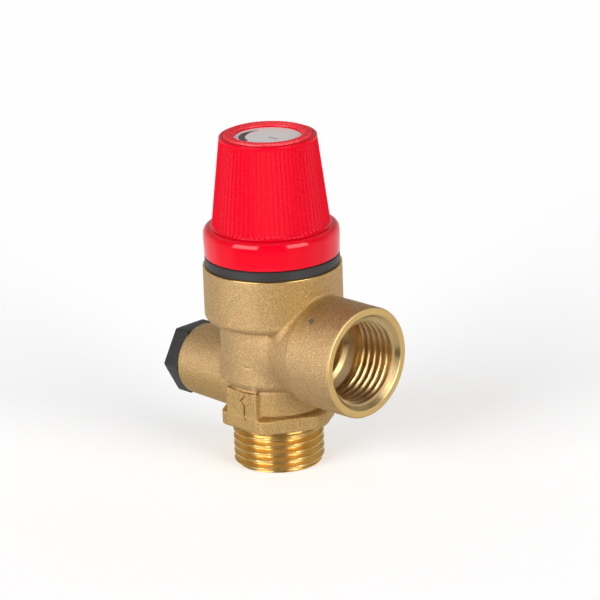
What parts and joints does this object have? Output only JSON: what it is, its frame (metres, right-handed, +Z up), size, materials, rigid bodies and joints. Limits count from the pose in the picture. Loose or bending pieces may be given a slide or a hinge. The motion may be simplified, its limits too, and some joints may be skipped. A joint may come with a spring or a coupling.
{
  "type": "pressure relief valve",
  "caption": "Angle-pattern pressure relief valve: brass body, male threaded inlet below, female threaded outlet at the side, plugged gauge port, red twist-to-test cap.",
  "frame": {"origin": "centre of the inlet's end face, on the valve's axis", "axes": "+Z up the valve's axis from the inlet to the cap, +X out of the outlet, -X out of the gauge port"},
  "size_m": [0.0576, 0.0318, 0.0784],
  "materials": {
    "forged_brass": "hot-forged brass, sandblasted to a fine satin grain; threads, outlet face and barrel's top edge machined bright",
    "machined_brass": "turned brass, bright",
    "black_plastic": "glass-filled nylon, moulded, matt",
    "red_plastic": "moulded plastic, smooth and glossy on the flange, satin on the flutes",
    "rubber": "moulded rubber, matt",
    "steel": "turned stainless steel",
    "spring_steel": "drawn spring wire",
    "white_plastic": "turned low-friction plastic, matt",
    "label_face": "light grey printed label with a plain turning arrow and no lettering"
  },
  "bodies": {
    "housing": {"valve_body": "forged_brass", "gauge_plug": "black_plastic", "gauge_plug_o_ring": "rubber", "spring_bonnet": "black_plastic", "diaphragm": "rubber", "diaphragm_clamp_ring": "machined_brass", "relief_spring": "spring_steel", "spring_top_plate": "machined_brass", "adjusting_nut": "machined_brass", "stem_guide_bush": "white_plastic"},
    "stem_group": {"stem": "steel", "disc_holder": "machined_brass", "seat_gasket": "rubber", "gasket_washer": "steel", "gasket_nut": "steel", "diaphragm_nut": "steel", "lower_spring_plate": "machined_brass", "cap_washer": "steel", "cap_screw": "steel"},
    "cap_group": {"control_cap": "red_plastic", "label_disc": "label_face"}
  },
  "joints": [
    {"name": "stem_lift", "type": "slide", "parent": "housing", "child": "stem_group", "axis": [0, 0, 1], "range_m": [0, 0.002], "deforming": ["relief_spring", "diaphragm"]},
    {"name": "cap_turn", "type": "hinge", "parent": "stem_group", "child": "cap_group", "pos_m": [0, 0, 0.0735], "axis": [0, 0, 1], "range_deg": [0, 80]}
  ],
  "couplings": [
    {"joint": "cap_turn", "follows": "stem_lift", "rad_per_m": 698.13}
  ]
}
